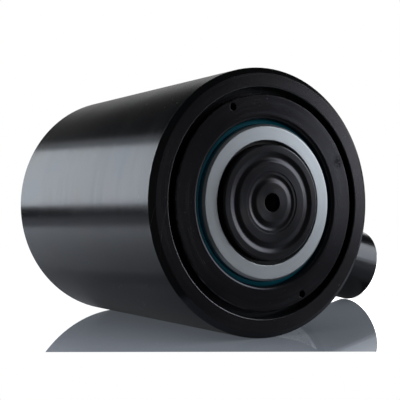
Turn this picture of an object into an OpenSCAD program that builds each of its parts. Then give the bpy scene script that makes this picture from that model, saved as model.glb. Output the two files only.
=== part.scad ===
// Two-stage telescopic hydraulic cylinder, single acting, with a side hose coupler.
// It stands on its base: +Z is the lifting direction and +X points out of the coupler.
// The radial sizes build outwards from the plunger, the heights upwards from the base.

/* [Stage two] */
// Diameter of the plunger's rod
plunger_d = 43; // [36:0.5:52]
// Radial step from the rod to the sleeve's bore, which the stop lip bears on
plunger_step = 2.5; // [2:0.1:4]
// Height of the plunger's lowest land
plunger_foot_h = 2.5; // [1.5:0.1:5]
// Height of the plunger's pressure seal
plunger_seal_h = 5; // [4:0.1:8]
// Radial thickness of the plunger's pressure seal
plunger_seal_t = 4; // [3:0.1:6]
// Height of the plunger's guide ring
plunger_guide_h = 7; // [4:0.1:12]

/* [Saddle] */
// How far the side of the load disc lies inside the rod's
saddle_inset = 0.1; // [0.1:0.05:1]
// Thickness of the load disc
saddle_t = 7; // [5:0.1:12]
// Height of the load disc's face above the body's rim
saddle_rise = 2.3; // [0.5:0.1:6]
// Bevel round the load disc
saddle_edge = 0.5; // [0.2:0.1:1.5]
// Radial width of the plain face outside the outer grip groove
saddle_rim_w = 2.6; // [2:0.05:4]
// Middle diameter of the inner grip groove
saddle_inner_groove_d = 18.3; // [15:0.1:19]
// Width of a grip groove, a soft wave from lip to lip
saddle_groove_w = 4.2; // [3:0.1:5]
// Depth of a grip groove
saddle_groove_depth = 0.6; // [0.4:0.05:1.2]
// Radial width of the fine step round the inner grip groove
saddle_step_w = 0.2; // [0.1:0.1:0.6]
// Depth of that step
saddle_step_depth = 0.25; // [0.1:0.05:0.5]
// Core diameter of the threaded hole through the saddle
saddle_hole_d = 7; // [5:0.1:9]
// Diameter of the spigot under the load disc
spigot_d = 20; // [16:0.5:26]
// Length of the spigot
spigot_h = 9; // [6:0.5:14]
// Wire diameter of the ring that holds the spigot
spigot_ring_wire = 2; // [1.4:0.1:2.6]

/* [Stage one] */
// Wall of the sleeve
sleeve_wall = 5; // [4:0.1:8]
// Height of the sleeve's end face above the body's rim
sleeve_rise = 0.35; // [0:0.05:1.5]
// Bevel on the sleeve's outer end edge
sleeve_chamfer = 0.9; // [0.4:0.1:2]
// Travel of stage one
stroke_one = 45; // [30:1:80]
// Radial step from the sleeve to the body's bore
piston_step = 7; // [5:0.5:12]
// Height of the relieved skirt under the piston head
skirt_h = 9.4; // [8:0.1:14]
// Radial depth of the oil gallery round the skirt
gallery_t = 3; // [2:0.1:4]
// Height of a plain land between two grooves
land_h = 2; // [1.5:0.1:4]
// Height of the piston head's pressure seal
piston_seal_h = 6; // [4:0.1:9]
// Radial thickness of the piston head's pressure seal
piston_seal_t = 5; // [4:0.1:7]
// Height of the piston head's guide ring
piston_guide_h = 7; // [4:0.1:12]
// Height of a backup ring
backup_h = 2; // [1.2:0.1:3]
// Radial thickness of a guide ring
guide_t = 2.2; // [1.6:0.1:2.8]
// Width of an oil slot across the foot of the sleeve
oil_slot_w = 5; // [3:0.5:8]
// Depth of an oil slot
oil_slot_depth = 2.5; // [1.5:0.1:3]
// Wire diameter of the ring that carries the plunger
carrier_wire = 2.5; // [2:0.1:3]
// Height of that ring above the foot of the sleeve
carrier_rise = 5; // [4.5:0.1:7]

/* [Sleeve lip] */
// Radial gap from the rod to the mouth of the lip
lip_mouth_gap = 1.6; // [1:0.1:2.2]
// Depth of the lip's mouth above its wiper
lip_recess = 2.5; // [1.5:0.1:5]
// Height of the lip's wiper
lip_wiper_h = 5; // [4:0.1:8]
// Radial hold of the wiper's heel behind the mouth
lip_wiper_hold = 1.9; // [1:0.1:2.2]
// Height of the lip's guide ring
lip_guide_h = 8; // [5:0.1:12]
// Height of the stop land under the guide ring
lip_foot_h = 3.4; // [2.5:0.1:6]

/* [Gland nut] */
// Radial width of the seat that the nut screws down on
gland_seat = 5; // [3:0.5:8]
// Radial step from the nut's thread to its neck
neck_step = 0.9; // [0.6:0.05:1.8]
// Small bevel on the neck
neck_edge = 0.4; // [0.2:0.1:1]
// Radial gap from the sleeve to the nut's mouth
gland_mouth_gap = 2; // [1.4:0.1:3]
// Rounding of the nut's mouth
gland_round = 1.3; // [0.5:0.1:2]
// Depth of the nut's mouth above its wiper
gland_recess = 3.2; // [2.4:0.1:6]
// Height of the nut's wiper
gland_wiper_h = 6; // [4:0.1:9]
// Radial hold of the wiper's heel behind the mouth
gland_wiper_hold = 2.2; // [1.2:0.1:2.8]
// Plain land between the wiper and the guide ring
gland_land_h = 2.5; // [1.5:0.1:5]
// Height of the nut's guide ring
gland_guide_h = 10; // [6:0.1:14]
// Height of the stop land at the foot of the nut
gland_foot_h = 4.3; // [3:0.1:8]
// Diameter of a pin-spanner hole
spanner_d = 2.8; // [2:0.1:3.4]
// Depth of a pin-spanner hole
spanner_depth = 6; // [3:0.5:8]
// Distance of a pin-spanner hole from the edge of the neck
spanner_edge = 2.25; // [1.9:0.05:2.6]
// Direction of the first pin-spanner hole
spanner_angle = 128.5; // [0:0.5:180]

/* [Body] */
// Radial step from the thread to the open groove at the rim
mouth_step = 1.8; // [1:0.1:3]
// Depth of the open groove at the rim
mouth_depth = 4; // [2:0.1:6]
// Fine bevel on the inner edge of the rim
mouth_edge = 0.3; // [0.1:0.05:0.8]
// Radial width of the rim outside the groove
rim_w = 7.2; // [6:0.1:12]
// Radial width of the bevel on the rim's outer edge
rim_bevel_w = 2.2; // [1:0.1:4]
// Height of that bevel
rim_bevel_h = 1.7; // [1:0.1:4]
// Thickness of the floor
floor_t = 18; // [15:0.5:30]
// Bevel in the corner between floor and bore
floor_corner = 1.8; // [0.5:0.1:2]
// Bevel round the base
base_chamfer = 0.8; // [0.3:0.1:2]
// Core diameter of a threaded mounting hole in the base
base_hole_d = 6.8; // [5:0.1:8.5]
// Thickness of floor left above a mounting hole
base_hole_web = 7; // [5:0.5:10]
// Pitch circle of the mounting holes
base_hole_pcd = 60; // [40:1:70]
// Number of mounting holes
base_hole_count = 4; // [2:1:6]

/* [Port and adapter] */
// Height of the port's axis above the inner floor
port_rise = 6.5; // [6:0.1:9]
// Diameter of the oil passage into the bore
port_hole_d = 6; // [4:0.5:8]
// Core diameter of the port's thread
port_thread_d = 15; // [12:0.1:18]
// Depth of the port's thread
port_thread_depth = 8.8; // [6:0.1:9]
// Thickness of the sealing washer
washer_t = 2; // [1.5:0.1:3]
// Outer diameter of the sealing washer
washer_d = 24; // [21:0.5:28]
// Width of the adapter's hexagon across its flats
hex_af = 27; // [25:0.5:36]
// Thickness of the hexagon
hex_t = 15; // [8:0.1:18]
// Margin of the spot face round the hexagon's corners
spot_margin = 0.5; // [0.3:0.1:2]
// Core diameter of the thread between adapter and barrel
joint_thread_d = 22; // [21:0.1:24]
// Length of that thread
joint_thread_l = 10; // [8:0.5:16]
// Bore of the adapter's front half
adapter_bore_d = 10; // [8.5:0.1:12]
// Wire diameter of the static ring between adapter and barrel
joint_ring_wire = 1.8; // [1.4:0.1:2.2]

/* [Coupler barrel] */
// Length of the barrel
barrel_l = 61.5; // [56:0.5:80]
// Diameter of the barrel's rear grip
barrel_d = 34; // [33:0.1:38]
// Length of the barrel's rear grip
grip_l = 31; // [24:0.5:36]
// Diameter of the thread that the dust cap screws on
cap_thread_d = 32; // [29:0.1:33]
// Depth of that thread, and of the relief groove behind it
cap_thread_depth = 1; // [0.5:0.1:1.5]
// Width of the relief groove
relief_w = 2.5; // [1.5:0.1:4]
// Bore that holds the poppet and its spring
cavity_d = 20; // [19:0.1:21]
// Distance from the barrel's face to the front of the poppet's seat
seat_depth = 11; // [10:0.1:14]
// Diameter of the hole in the seat
seat_hole_d = 14; // [12:0.1:15]
// Axial length of the seat's cone
seat_cone = 3; // [2:0.1:4]
// Diameter of the barrel's mouth
coupler_mouth_d = 19; // [17:0.1:21]
// Depth of the barrel's mouth
coupler_mouth_depth = 9; // [7:0.1:10]
// Bevel on the barrel's edges
barrel_edge = 1; // [0.4:0.1:1.5]
// Wire diameter of the sealing ring in the mouth
mouth_ring_wire = 1.8; // [1.4:0.1:2.2]
// Distance of that ring from the barrel's face
mouth_ring_depth = 4.2; // [3:0.1:6]

/* [Poppet] */
// Diameter of the poppet's head
poppet_d = 17.2; // [16.4:0.1:18.4]
// Length of the head's round edge behind its cone
poppet_edge_l = 6; // [3:0.5:8]
// Diameter of the poppet's nose
poppet_nose_d = 9; // [6:0.1:11]
// Length of the nose in front of the head's cone
poppet_nose_l = 6; // [3:0.1:7]
// Diameter of the poppet's stem
poppet_stem_d = 7; // [5:0.1:8]
// Opening travel of the poppet, until the shoulder on its stem meets the guide
poppet_stroke = 4; // [2:0.5:5]
// Thickness of the spoked guide that carries the stem
stem_guide_t = 6; // [4:0.5:8]
// Diameter of the guide's hub
stem_hub_d = 11.5; // [10.5:0.1:12]
// Width of a spoke
spoke_w = 3; // [2:0.1:4]
// Radial width of the guide's rim
stem_rim_w = 1.5; // [1:0.1:2]
// Wire diameter of the poppet's spring
spring_wire = 1.6; // [1:0.1:1.8]
// Diameter of the spring at the middle of its wire
spring_d = 14; // [13.5:0.1:15]
// Number of turns, with one closed turn at each end
spring_turns = 6; // [4:1:8]

/* [Dust cap] */
// Outer diameter of the cap
cap_d = 37.5; // [37:0.1:44]
// Length of the cap
cap_l = 36; // [30:0.5:40]
// Thickness of the cap's end wall
cap_end_t = 5; // [3:0.1:8]
// Rounding of the cap's edges
cap_round = 0.5; // [0.3:0.1:1]
// Thickness of the cap's gasket
gasket_t = 2.1; // [1.5:0.1:3]

/* [Clearances] */
// Radial gap between sliding metal pieces, which the guide rings hold apart
metal_gap = 0.3; // [0.2:0.05:0.5]
// Radial gap between a guide ring or stem and what runs on it
running_gap = 0.05; // [0.02:0.01:0.1]
// Gap between a ring and its groove
seat_gap = 0.05; // [0.02:0.01:0.1]
// Gap between screwed threads
thread_gap = 0.05; // [0.02:0.01:0.1]
// Gap left where a moving piece rests or stops
rest_gap = 0.1; // [0.05:0.01:0.3]

/* [Hidden] */
$fn = 96;
// Overshoot of every cut
cut = 1;
// Width of the split in a ring that is sprung into its groove
split_w = 1.2;
// Bevel on the ends of pistons and threads
lead = 1;

// Radii, from the plunger outwards
plunger_r = plunger_d / 2;
sleeve_bore_r = plunger_r + plunger_step;
sleeve_r = sleeve_bore_r + sleeve_wall;
bore_r = sleeve_r + piston_step;
thread_r = bore_r + gland_seat;
neck_r = thread_r - neck_step;
mouth_r = thread_r + mouth_step;
body_r = mouth_r + rim_w;
lip_bore_r = plunger_r + metal_gap;
lip_mouth_r = plunger_r + lip_mouth_gap;
lip_wiper_r = lip_mouth_r + lip_wiper_hold;
gland_bore_r = sleeve_r + metal_gap;
gland_mouth_r = sleeve_r + gland_mouth_gap;
gland_wiper_r = gland_mouth_r + gland_wiper_hold;
spanner_r = neck_r - spanner_edge;
piston_land_r = bore_r - metal_gap;
piston_seal_r = bore_r - piston_seal_t;
skirt_r = bore_r - gallery_t;
plunger_land_r = sleeve_bore_r - metal_gap;
plunger_seal_r = sleeve_bore_r - plunger_seal_t;
saddle_r = plunger_r - saddle_inset;
saddle_outer_groove_r = saddle_r - saddle_rim_w - saddle_groove_w / 2;
saddle_hole_r = saddle_hole_d / 2;
spigot_r = spigot_d / 2;
spigot_bore_r = spigot_r + running_gap;
carrier_r = carrier_wire / 2;

// Heights of stage one's piston head, from its foot upwards
sleeve_low = floor_t + rest_gap;
piston_seal_low = sleeve_low + skirt_h + land_h;
piston_seal_high = piston_seal_low + piston_seal_h + backup_h + 2 * seat_gap;
piston_guide_low = piston_seal_high + land_h;
piston_guide_high = piston_guide_low + piston_guide_h + 2 * seat_gap;
piston_top = piston_guide_high + land_h;
carrier_z = sleeve_low + carrier_rise;

// Heights of the gland nut and the rim
gland_low = piston_top + stroke_one + rest_gap;
gland_guide_low = gland_low + gland_foot_h;
gland_guide_high = gland_guide_low + gland_guide_h + 2 * seat_gap;
gland_wiper_low = gland_guide_high + gland_land_h;
gland_wiper_high = gland_wiper_low + gland_wiper_h + 2 * seat_gap;
body_h = gland_wiper_high + gland_recess;
mouth_low = body_h - mouth_depth;

// Heights of the sleeve's lip, from its end face downwards
sleeve_top = body_h + sleeve_rise;
lip_wiper_high = sleeve_top - lip_recess;
lip_wiper_low = lip_wiper_high - lip_wiper_h - 2 * seat_gap;
lip_guide_high = lip_wiper_low - land_h;
lip_guide_low = lip_guide_high - lip_guide_h - 2 * seat_gap;
lip_low = lip_guide_low - lip_foot_h;

// Heights of the plunger and the saddle
plunger_low = carrier_z + carrier_r + rest_gap;
plunger_seal_low = plunger_low + plunger_foot_h;
plunger_seal_high = plunger_seal_low + plunger_seal_h + backup_h + 2 * seat_gap;
plunger_guide_low = plunger_seal_high + land_h;
plunger_guide_high = plunger_guide_low + plunger_guide_h + 2 * seat_gap;
plunger_head_top = plunger_guide_high + land_h;
saddle_top = body_h + saddle_rise;
plunger_top = saddle_top - saddle_t;
spigot_low = plunger_top - spigot_h;
spigot_ring_z = plunger_top - spigot_h / 2;

// Distances along the port, from the cylinder's axis outwards
port_z = floor_t + port_rise;
hex_r = hex_af / 2 / cos(30);
spot_r = hex_r + spot_margin;
spot_x = sqrt(body_r * body_r - spot_r * spot_r) - seat_gap;
port_thread_low = spot_x - port_thread_depth;
hex_low = spot_x + washer_t;
barrel_low = hex_low + hex_t;
joint_high = barrel_low + joint_thread_l;
joint_ring_x = joint_high - 1.5 * joint_ring_wire;
barrel_high = barrel_low + barrel_l;
grip_high = barrel_low + grip_l;
seat_x = barrel_high - seat_depth;
seat_low = seat_x - seat_cone;
coupler_mouth_low = barrel_high - coupler_mouth_depth;
mouth_ring_x = barrel_high - mouth_ring_depth;
cap_inner_end = barrel_high + rest_gap + gasket_t;
cap_high = cap_inner_end + cap_end_t;
cap_low = cap_high - cap_l;
joint_thread_r = joint_thread_d / 2;
port_thread_r = port_thread_d / 2;
adapter_bore_r = adapter_bore_d / 2;
barrel_r = barrel_d / 2;
cap_thread_r = cap_thread_d / 2;
cap_r = cap_d / 2;
cap_bore_r = cap_thread_r + metal_gap;
cavity_r = cavity_d / 2;
seat_hole_r = seat_hole_d / 2;
seat_slope = (cavity_r - seat_hole_r) / seat_cone;
coupler_mouth_r = coupler_mouth_d / 2;
poppet_r = poppet_d / 2;
poppet_nose_r = poppet_nose_d / 2;
poppet_stem_r = poppet_stem_d / 2;
poppet_cone_high = seat_x - metal_gap;
poppet_cone_low = poppet_cone_high - (poppet_r - seat_hole_r + metal_gap) / seat_slope;
poppet_back = poppet_cone_low - poppet_edge_l;
stem_guide_high = joint_high + stem_guide_t;
poppet_stem_low = joint_high + seat_gap + lead;
poppet_stop_x = stem_guide_high + poppet_stroke + rest_gap;
spring_low = stem_guide_high + spring_wire / 2 + seat_gap;
spring_high = poppet_back - spring_wire / 2 - seat_gap;

// A quarter round from one direction to another, as outline points
function arc(centre, radius, from, to, steps = 8) = [
    for (i = [0 : steps])
        let (angle = from + (to - from) * i / steps)
        centre + radius * [cos(angle), sin(angle)]
];

// A round wave cut into a face from its outer lip to its inner one, as outline points
function wave(middle, width, depth, top, steps = 16) = [
    for (i = [0 : steps])
        let (across = i / steps)
        [middle + width * (0.5 - across), top - depth * (1 - cos(360 * across)) / 2]
];

// A turned piece from its half section
module turned(section) {
    rotate_extrude() polygon(section);
}

// A plain ring with square edges
module ring(outer_r, inner_r, low, high) {
    rotate_extrude() translate([inner_r, low]) square([outer_r - inner_r, high - low]);
}

// A round-wire ring
module wire_ring(middle_r, wire_r, height) {
    rotate_extrude() translate([middle_r, height]) circle(r = wire_r, $fn = 32);
}

// A sprung ring is slit on one side
module slit(outer_r, low, high, angle) {
    difference() {
        children();
        rotate(angle)
            translate([0, -split_w / 2, low - cut])
                cube([outer_r + cut, split_w, high - low + 2 * cut]);
    }
}

// A guide strip bent into its groove
module guide_ring(outer_r, inner_r, low, high, angle) {
    slit(outer_r, low, high, angle) ring(outer_r, inner_r, low + seat_gap, high - seat_gap);
}

// A cup seal on a piston head, its open side down to the pressure
module cup_seal(outer_r, inner_r, low, high) {
    middle_r = (outer_r + inner_r) / 2;
    lip_w = (outer_r - inner_r) / 4;
    heel_r = outer_r - lip_w / 2;
    depth = (high - low) / 2;
    turned([
        [inner_r, low], [inner_r + lip_w, low], [middle_r, low + depth], [outer_r - lip_w, low],
        [outer_r, low + lip_w / 2], [outer_r, low + depth], [heel_r, low + 1.2 * depth],
        [heel_r, high], [inner_r, high]
    ]);
}

// A wiper: a heel held in its groove, and a lip that rises and leans onto the rod
module wiper(rod_r, open_r, groove_r, low, high) {
    lip_r = open_r - metal_gap;
    tip_r = rod_r + running_gap;
    lip_t = (lip_r - tip_r) / 2;
    heel_r = groove_r - seat_gap;
    turned([
        [tip_r + lip_t, low + seat_gap], [heel_r, low + seat_gap], [heel_r, high - seat_gap],
        [lip_r, high - seat_gap], [lip_r, high + lip_t / 2], [tip_r + lip_t / 3, high + lip_t],
        [tip_r, high + lip_t / 2], [tip_r + lip_t, high - 2 * lip_t]
    ]);
}

// Turns the port's own axis to +X at the port's height
module along_port() {
    translate([0, 0, port_z]) rotate([0, 90, 0]) children();
}

module cylinder_body() {
    color([0.09, 0.09, 0.10])
    difference() {
        turned([
            [0, 0], [body_r - base_chamfer, 0], [body_r, base_chamfer],
            [body_r, body_h - rim_bevel_h], [body_r - rim_bevel_w, body_h],
            [mouth_r + mouth_edge, body_h], [mouth_r, body_h - mouth_edge], [mouth_r, mouth_low],
            [thread_r, mouth_low], [thread_r, gland_low], [bore_r, gland_low],
            [bore_r, floor_t + floor_corner], [bore_r - floor_corner, floor_t], [0, floor_t]
        ]);
        along_port() translate([0, 0, spot_x]) cylinder(r = spot_r, h = body_r);
        along_port() translate([0, 0, port_thread_low]) cylinder(r = port_thread_r, h = body_r);
        along_port() translate([0, 0, skirt_r]) cylinder(d = port_hole_d, h = body_r - skirt_r);
        for (i = [0 : base_hole_count - 1])
            rotate(45 + 360 * i / base_hole_count)
                translate([base_hole_pcd / 2, 0, -cut])
                    cylinder(d = base_hole_d, h = floor_t - base_hole_web + cut, $fn = 32);
    }
}

module gland_nut() {
    outer_r = thread_r - thread_gap;
    guide_groove_r = sleeve_r + running_gap + guide_t + seat_gap;
    round_centre = [gland_mouth_r + gland_round, body_h - gland_round];
    color([0.08, 0.08, 0.09])
    difference() {
        turned(concat(
            [
                [gland_bore_r, gland_low], [outer_r - lead, gland_low], [outer_r, gland_low + lead],
                [outer_r, mouth_low], [neck_r, mouth_low], [neck_r, body_h - neck_edge],
                [neck_r - neck_edge, body_h]
            ],
            arc(round_centre, gland_round, 90, 180),
            [
                [gland_mouth_r, gland_wiper_high], [gland_wiper_r, gland_wiper_high],
                [gland_wiper_r, gland_wiper_low], [gland_bore_r, gland_wiper_low],
                [gland_bore_r, gland_guide_high], [guide_groove_r, gland_guide_high],
                [guide_groove_r, gland_guide_low], [gland_bore_r, gland_guide_low]
            ]
        ));
        for (angle = [spanner_angle, spanner_angle + 180])
            rotate(angle)
                translate([spanner_r, 0, body_h - spanner_depth])
                    cylinder(d = spanner_d, h = spanner_depth + cut, $fn = 32);
    }
}

module gland_wiper() {
    color([0.0, 0.27, 0.32])
        wiper(sleeve_r, gland_mouth_r, gland_wiper_r, gland_wiper_low, gland_wiper_high);
}

module gland_guide_ring() {
    inner_r = sleeve_r + running_gap;
    color([0.45, 0.30, 0.18]) guide_ring(inner_r + guide_t, inner_r, gland_guide_low, gland_guide_high, 20);
}

module stage_one_sleeve() {
    guide_root_r = bore_r - running_gap - guide_t - seat_gap;
    lip_guide_r = plunger_r + running_gap + guide_t + seat_gap;
    color([0.72, 0.75, 0.78])
    difference() {
        turned([
            [sleeve_bore_r + lead, sleeve_low], [skirt_r - lead, sleeve_low], [skirt_r, sleeve_low + lead],
            [skirt_r, sleeve_low + skirt_h], [piston_land_r, sleeve_low + skirt_h],
            [piston_land_r, piston_seal_low], [piston_seal_r, piston_seal_low],
            [piston_seal_r, piston_seal_high], [piston_land_r, piston_seal_high],
            [piston_land_r, piston_guide_low], [guide_root_r, piston_guide_low],
            [guide_root_r, piston_guide_high], [piston_land_r, piston_guide_high],
            [piston_land_r, piston_top - lead], [piston_land_r - lead, piston_top],
            [sleeve_r, piston_top], [sleeve_r, sleeve_top - sleeve_chamfer],
            [sleeve_r - sleeve_chamfer, sleeve_top], [lip_mouth_r, sleeve_top],
            [lip_mouth_r, lip_wiper_high], [lip_wiper_r, lip_wiper_high],
            [lip_wiper_r, lip_wiper_low], [lip_bore_r, lip_wiper_low],
            [lip_bore_r, lip_guide_high], [lip_guide_r, lip_guide_high],
            [lip_guide_r, lip_guide_low], [lip_bore_r, lip_guide_low],
            [lip_bore_r, lip_low], [sleeve_bore_r, lip_low], [sleeve_bore_r, sleeve_low + lead]
        ]);
        wire_ring(sleeve_bore_r, carrier_r + seat_gap, carrier_z);
        for (angle = [0 : 90 : 270])
            rotate(angle)
                translate([0, -oil_slot_w / 2, sleeve_low - cut])
                    cube([bore_r, oil_slot_w, oil_slot_depth + cut]);
    }
}

module stage_one_seal() {
    low = piston_seal_low + seat_gap;
    color([0.05, 0.12, 0.10])
        cup_seal(bore_r - running_gap, piston_seal_r + seat_gap, low, low + piston_seal_h);
}

module stage_one_backup_ring() {
    high = piston_seal_high - seat_gap;
    color([0.85, 0.84, 0.80]) ring(bore_r - running_gap, piston_seal_r + seat_gap, high - backup_h, high);
}

module stage_one_guide_ring() {
    outer_r = bore_r - running_gap;
    color([0.45, 0.30, 0.18])
        guide_ring(outer_r, outer_r - guide_t, piston_guide_low, piston_guide_high, 140);
}

module sleeve_retaining_ring() {
    color([0.55, 0.56, 0.58])
        slit(sleeve_bore_r + carrier_wire, carrier_z - carrier_wire, carrier_z + carrier_wire, 45)
            wire_ring(sleeve_bore_r, carrier_r, carrier_z);
}

module lip_guide_ring() {
    inner_r = plunger_r + running_gap;
    color([0.45, 0.30, 0.18]) guide_ring(inner_r + guide_t, inner_r, lip_guide_low, lip_guide_high, 200);
}

module lip_wiper() {
    color([0.05, 0.05, 0.05]) wiper(plunger_r, lip_mouth_r, lip_wiper_r, lip_wiper_low, lip_wiper_high);
}

module stage_two_plunger() {
    guide_root_r = sleeve_bore_r - running_gap - guide_t - seat_gap;
    tip_low = spigot_low - saddle_hole_d;
    color([0.70, 0.72, 0.74])
        turned([
            [0, plunger_low], [plunger_land_r - lead / 2, plunger_low],
            [plunger_land_r, plunger_low + lead / 2],
            [plunger_land_r, plunger_seal_low], [plunger_seal_r, plunger_seal_low],
            [plunger_seal_r, plunger_seal_high], [plunger_land_r, plunger_seal_high],
            [plunger_land_r, plunger_guide_low], [guide_root_r, plunger_guide_low],
            [guide_root_r, plunger_guide_high], [plunger_land_r, plunger_guide_high],
            [plunger_land_r, plunger_head_top], [plunger_r, plunger_head_top],
            [plunger_r, plunger_top - lead / 2], [plunger_r - lead / 2, plunger_top],
            [spigot_bore_r, plunger_top], [spigot_bore_r, spigot_low - rest_gap],
            [saddle_hole_r + lead, spigot_low - rest_gap], [saddle_hole_r + lead, tip_low], [0, tip_low]
        ]);
}

module stage_two_seal() {
    low = plunger_seal_low + seat_gap;
    color([0.05, 0.12, 0.10])
        cup_seal(sleeve_bore_r - running_gap, plunger_seal_r + seat_gap, low, low + plunger_seal_h);
}

module stage_two_backup_ring() {
    high = plunger_seal_high - seat_gap;
    color([0.85, 0.84, 0.80])
        ring(sleeve_bore_r - running_gap, plunger_seal_r + seat_gap, high - backup_h, high);
}

module stage_two_guide_ring() {
    outer_r = sleeve_bore_r - running_gap;
    color([0.45, 0.30, 0.18])
        guide_ring(outer_r, outer_r - guide_t, plunger_guide_low, plunger_guide_high, 290);
}

module saddle() {
    groove_root_r = spigot_r - spigot_ring_wire;
    groove_h = spigot_ring_wire + 2 * seat_gap;
    step_r = (saddle_inner_groove_d + saddle_groove_w) / 2 + saddle_step_w;
    color([0.07, 0.07, 0.08])
    difference() {
        turned(concat(
            [[saddle_hole_r, spigot_low], [spigot_r, spigot_low]],
            [[spigot_r, spigot_ring_z - groove_h / 2], [groove_root_r, spigot_ring_z - groove_h / 2]],
            [[groove_root_r, spigot_ring_z + groove_h / 2], [spigot_r, spigot_ring_z + groove_h / 2]],
            [[spigot_r, plunger_top], [saddle_r, plunger_top], [saddle_r, saddle_top - saddle_edge]],
            [[saddle_r - saddle_edge, saddle_top]],
            wave(saddle_outer_groove_r, saddle_groove_w, saddle_groove_depth, saddle_top),
            wave(saddle_inner_groove_d / 2, saddle_groove_w, saddle_groove_depth, saddle_top),
            [[saddle_hole_r, saddle_top]]
        ));
        ring(step_r, saddle_inner_groove_d / 2, saddle_top - saddle_step_depth, saddle_top + cut);
    }
}

module saddle_retainer() {
    wire_r = spigot_ring_wire / 2;
    color([0.05, 0.05, 0.05]) wire_ring(spigot_r - wire_r, wire_r - seat_gap, spigot_ring_z);
}

module port_washer() {
    color([0.72, 0.45, 0.25]) along_port() ring(washer_d / 2, port_thread_r + metal_gap, spot_x, hex_low);
}

// The hexagon has its corners bevelled at both ends, as a turned bar has
module coupler_adapter() {
    hex_bevel = hex_r - hex_af / 2;
    bevel_h = hex_bevel / 2;
    spigot_outer_r = port_thread_r - thread_gap;
    joint_r = joint_thread_r - thread_gap;
    ring_root_r = joint_thread_r - joint_ring_wire;
    ring_half = joint_ring_wire / 2 + seat_gap;
    color([0.42, 0.43, 0.44])
    along_port()
    difference() {
        union() {
            intersection() {
                translate([0, 0, hex_low]) rotate(30) cylinder(r = hex_r, h = hex_t, $fn = 6);
                turned([
                    [0, hex_low], [hex_af / 2, hex_low], [hex_r, hex_low + bevel_h],
                    [hex_r, barrel_low - bevel_h], [hex_af / 2, barrel_low], [0, barrel_low]
                ]);
            }
            turned([
                [0, port_thread_low + lead], [spigot_outer_r - lead, port_thread_low + lead],
                [spigot_outer_r, port_thread_low + 2 * lead], [spigot_outer_r, hex_low + cut],
                [0, hex_low + cut]
            ]);
            turned([
                [0, barrel_low - cut], [joint_r, barrel_low - cut], [joint_r, joint_ring_x - ring_half],
                [ring_root_r, joint_ring_x - ring_half], [ring_root_r, joint_ring_x + ring_half],
                [joint_r, joint_ring_x + ring_half], [joint_r, joint_high], [0, joint_high]
            ]);
        }
        translate([0, 0, port_thread_low]) cylinder(d = port_hole_d, h = joint_high - port_thread_low);
        translate([0, 0, hex_low + hex_t / 2]) cylinder(r = adapter_bore_r, h = joint_high);
    }
}

module coupler_barrel() {
    ring_root_r = coupler_mouth_r + mouth_ring_wire;
    ring_half = mouth_ring_wire / 2 + seat_gap;
    relief_r = cap_thread_r - cap_thread_depth;
    relief_high = grip_high + relief_w;
    color([0.42, 0.43, 0.44])
    along_port()
        turned([
            [joint_thread_r, barrel_low], [barrel_r - barrel_edge, barrel_low],
            [barrel_r, barrel_low + barrel_edge], [barrel_r, grip_high - barrel_edge],
            [barrel_r - barrel_edge, grip_high], [relief_r, grip_high], [relief_r, relief_high],
            [cap_thread_r, relief_high + cap_thread_depth],
            [cap_thread_r, barrel_high - barrel_edge], [cap_thread_r - barrel_edge, barrel_high],
            [coupler_mouth_r + barrel_edge, barrel_high], [coupler_mouth_r, barrel_high - barrel_edge],
            [coupler_mouth_r, mouth_ring_x + ring_half], [ring_root_r, mouth_ring_x + ring_half],
            [ring_root_r, mouth_ring_x - ring_half], [coupler_mouth_r, mouth_ring_x - ring_half],
            [coupler_mouth_r, coupler_mouth_low], [seat_hole_r, coupler_mouth_low],
            [seat_hole_r, seat_x], [cavity_r, seat_low], [cavity_r, joint_high], [joint_thread_r, joint_high]
        ]);
}

module barrel_o_ring() {
    wire_r = joint_ring_wire / 2;
    color([0.04, 0.04, 0.04])
        along_port() wire_ring(joint_thread_r - wire_r, wire_r - seat_gap, joint_ring_x);
}

module mouth_o_ring() {
    wire_r = mouth_ring_wire / 2;
    color([0.04, 0.04, 0.04])
        along_port() wire_ring(coupler_mouth_r + wire_r, wire_r - seat_gap, mouth_ring_x);
}

// A spoked disc that centres the poppet's stem and lets the oil pass
module poppet_guide() {
    rim_r = cavity_r - seat_gap;
    color([0.60, 0.61, 0.62])
    along_port()
    difference() {
        union() {
            ring(rim_r, rim_r - stem_rim_w, joint_high, stem_guide_high);
            translate([0, 0, joint_high]) cylinder(d = stem_hub_d, h = stem_guide_t);
            for (angle = [0 : 120 : 240])
                rotate(angle)
                    translate([0, -spoke_w / 2, joint_high])
                        cube([rim_r - stem_rim_w / 2, spoke_w, stem_guide_t]);
        }
        translate([0, 0, joint_high - cut])
            cylinder(r = poppet_stem_r + running_gap, h = stem_guide_t + 2 * cut);
    }
}

module coupler_poppet() {
    cone_high_r = seat_hole_r - metal_gap;
    color([0.62, 0.63, 0.64])
    along_port()
        turned([
            [0, poppet_stem_low], [poppet_stem_r - lead, poppet_stem_low],
            [poppet_stem_r, poppet_stem_low + lead], [poppet_stem_r, poppet_stop_x],
            [poppet_stem_r + lead, poppet_stop_x], [poppet_stem_r + lead, poppet_back],
            [poppet_r, poppet_back], [poppet_r, poppet_cone_low], [cone_high_r, poppet_cone_high],
            [poppet_nose_r, poppet_cone_high], [poppet_nose_r, poppet_cone_high + poppet_nose_l - lead],
            [poppet_nose_r - lead, poppet_cone_high + poppet_nose_l], [0, poppet_cone_high + poppet_nose_l]
        ]);
}

// Height of the wire's middle after so many turns, with a closed turn at each end
function coil_rise(turn) =
    let (closed = spring_wire + seat_gap, length = spring_high - spring_low)
    turn < 1 ? turn * closed
    : turn > spring_turns - 1 ? length - (spring_turns - turn) * closed
    : closed + (turn - 1) / (spring_turns - 2) * (length - 2 * closed);

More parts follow.
